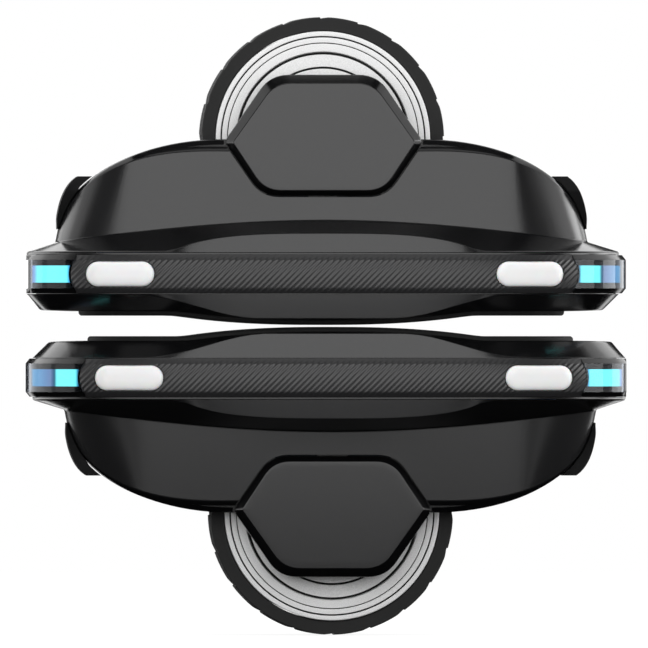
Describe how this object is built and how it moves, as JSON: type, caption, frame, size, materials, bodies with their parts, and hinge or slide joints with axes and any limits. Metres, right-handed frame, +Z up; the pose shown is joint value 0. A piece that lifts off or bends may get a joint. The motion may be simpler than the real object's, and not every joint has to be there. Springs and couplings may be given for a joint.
{
  "type": "pair of one-wheel hover shoes",
  "caption": "A pair of self-balancing electric hover shoes, each with a hub-motor wheel under a foot deck with a wrap-around band, pads and end lights, one shoe upside down over the other.",
  "frame": {"origin": "on the ground under the middle of the pair, halfway between the two wheels' axles along X", "axes": "+Z up, from the lower shoe's wheel to the upper shoe's; X along the feet; Y along both axles, with the picture's viewer at -Y"},
  "size_m": [0.2956, 0.17, 0.3041],
  "materials": {
    "tyre_rubber": "matte black rubber",
    "black_rubber": "soft matte black",
    "housing_black": "satin black abs",
    "ribbed_trim": "dark grey abs with fine slanted ribs",
    "white_pad": "white polycarbonate",
    "smoked_lens": "smoked clear polycarbonate",
    "light_strip": "lit cyan strip",
    "hub_paint": "light grey painted casting",
    "frame_alloy": "anodised",
    "steel": "zinc plated",
    "copper_windings": "enamelled copper on steel laminations",
    "battery_sleeve": "blue shrink sleeve",
    "circuit_board": "green solder mask"
  },
  "bodies": {
    "pair_frame": {"lower_axle_cover_left": "housing_black", "lower_axle_cover_right": "housing_black", "lower_battery_pack": "battery_sleeve", "lower_charge_port": "steel", "lower_chassis": "frame_alloy", "lower_control_board": "circuit_board", "lower_deck_cover": "housing_black", "lower_foot_sensors": "circuit_board", "lower_housing": "housing_black", "lower_light_board_front": "light_strip", "lower_light_board_rear": "light_strip", "lower_light_lens_front": "smoked_lens", "lower_light_lens_rear": "smoked_lens", "lower_motor_stator": "copper_windings", "lower_nose_bumper_front": "black_rubber", "lower_nose_bumper_rear": "black_rubber", "lower_side_pad_front_left": "white_pad", "lower_side_pad_front_right": "white_pad", "lower_side_pad_rear_left": "white_pad", "lower_side_pad_rear_right": "white_pad", "lower_side_trim_left": "ribbed_trim", "lower_side_trim_right": "ribbed_trim", "upper_axle_cover_left": "housing_black", "upper_axle_cover_right": "housing_black", "upper_battery_pack": "battery_sleeve", "upper_charge_port": "steel", "upper_chassis": "frame_alloy", "upper_control_board": "circuit_board", "upper_deck_cover": "housing_black", "upper_foot_sensors": "circuit_board", "upper_housing": "housing_black", "upper_light_board_front": "light_strip", "upper_light_board_rear": "light_strip", "upper_light_lens_front": "smoked_lens", "upper_light_lens_rear": "smoked_lens", "upper_motor_stator": "copper_windings", "upper_nose_bumper_front": "black_rubber", "upper_nose_bumper_rear": "black_rubber", "upper_side_pad_front_left": "white_pad", "upper_side_pad_front_right": "white_pad", "upper_side_pad_rear_left": "white_pad", "upper_side_pad_rear_right": "white_pad", "upper_side_trim_left": "ribbed_trim", "upper_side_trim_right": "ribbed_trim"},
    "lower_wheel": {"lower_tyre": "tyre_rubber", "lower_hub_shell": "hub_paint", "lower_hub_side_cover": "hub_paint", "lower_wheel_bearing_left": "steel", "lower_wheel_bearing_right": "steel"},
    "lower_foot_pad": {"lower_foot_mat": "black_rubber"},
    "lower_power_button": {"lower_power_button": "black_rubber"},
    "lower_charge_cap": {"lower_charge_port_cap": "black_rubber"},
    "upper_wheel": {"upper_tyre": "tyre_rubber", "upper_hub_shell": "hub_paint", "upper_hub_side_cover": "hub_paint", "upper_wheel_bearing_left": "steel", "upper_wheel_bearing_right": "steel"},
    "upper_foot_pad": {"upper_foot_mat": "black_rubber"},
    "upper_power_button": {"upper_power_button": "black_rubber"},
    "upper_charge_cap": {"upper_charge_port_cap": "black_rubber"}
  },
  "joints": [
    {"name": "lower_wheel_spin", "type": "hinge", "parent": "pair_frame", "child": "lower_wheel", "pos_m": [0.0022, 0, 0.06], "axis": [0, 1, 0], "continuous": true},
    {"name": "lower_foot_pad_press", "type": "slide", "parent": "pair_frame", "child": "lower_foot_pad", "axis": [0, 0, -1], "range_m": [0, 0.0015], "stiffness_N_per_m": 8000, "springref_m": -0.0005},
    {"name": "lower_power_button_press", "type": "slide", "parent": "pair_frame", "child": "lower_power_button", "axis": [0, -1, 0], "range_m": [0, 0.001], "stiffness_N_per_m": 600, "springref_m": -0.0005},
    {"name": "lower_charge_cap_hinge", "type": "hinge", "parent": "pair_frame", "child": "lower_charge_cap", "pos_m": [-0.0618, 0.0513, 0.0745], "axis": [-1, 0, 0], "range_deg": [0, 110]},
    {"name": "upper_wheel_spin", "type": "hinge", "parent": "pair_frame", "child": "upper_wheel", "pos_m": [-0.0022, 0, 0.2441], "axis": [0, 1, 0], "continuous": true},
    {"name": "upper_foot_pad_press", "type": "slide", "parent": "pair_frame", "child": "upper_foot_pad", "axis": [0, 0, 1], "range_m": [0, 0.0015], "stiffness_N_per_m": 8000, "springref_m": -0.0005},
    {"name": "upper_power_button_press", "type": "slide", "parent": "pair_frame", "child": "upper_power_button", "axis": [0, -1, 0], "range_m": [0, 0.001], "stiffness_N_per_m": 600, "springref_m": -0.0005},
    {"name": "upper_charge_cap_hinge", "type": "hinge", "parent": "pair_frame", "child": "upper_charge_cap", "pos_m": [0.0618, 0.0513, 0.2296], "axis": [1, 0, 0], "range_deg": [0, 110]}
  ]
}
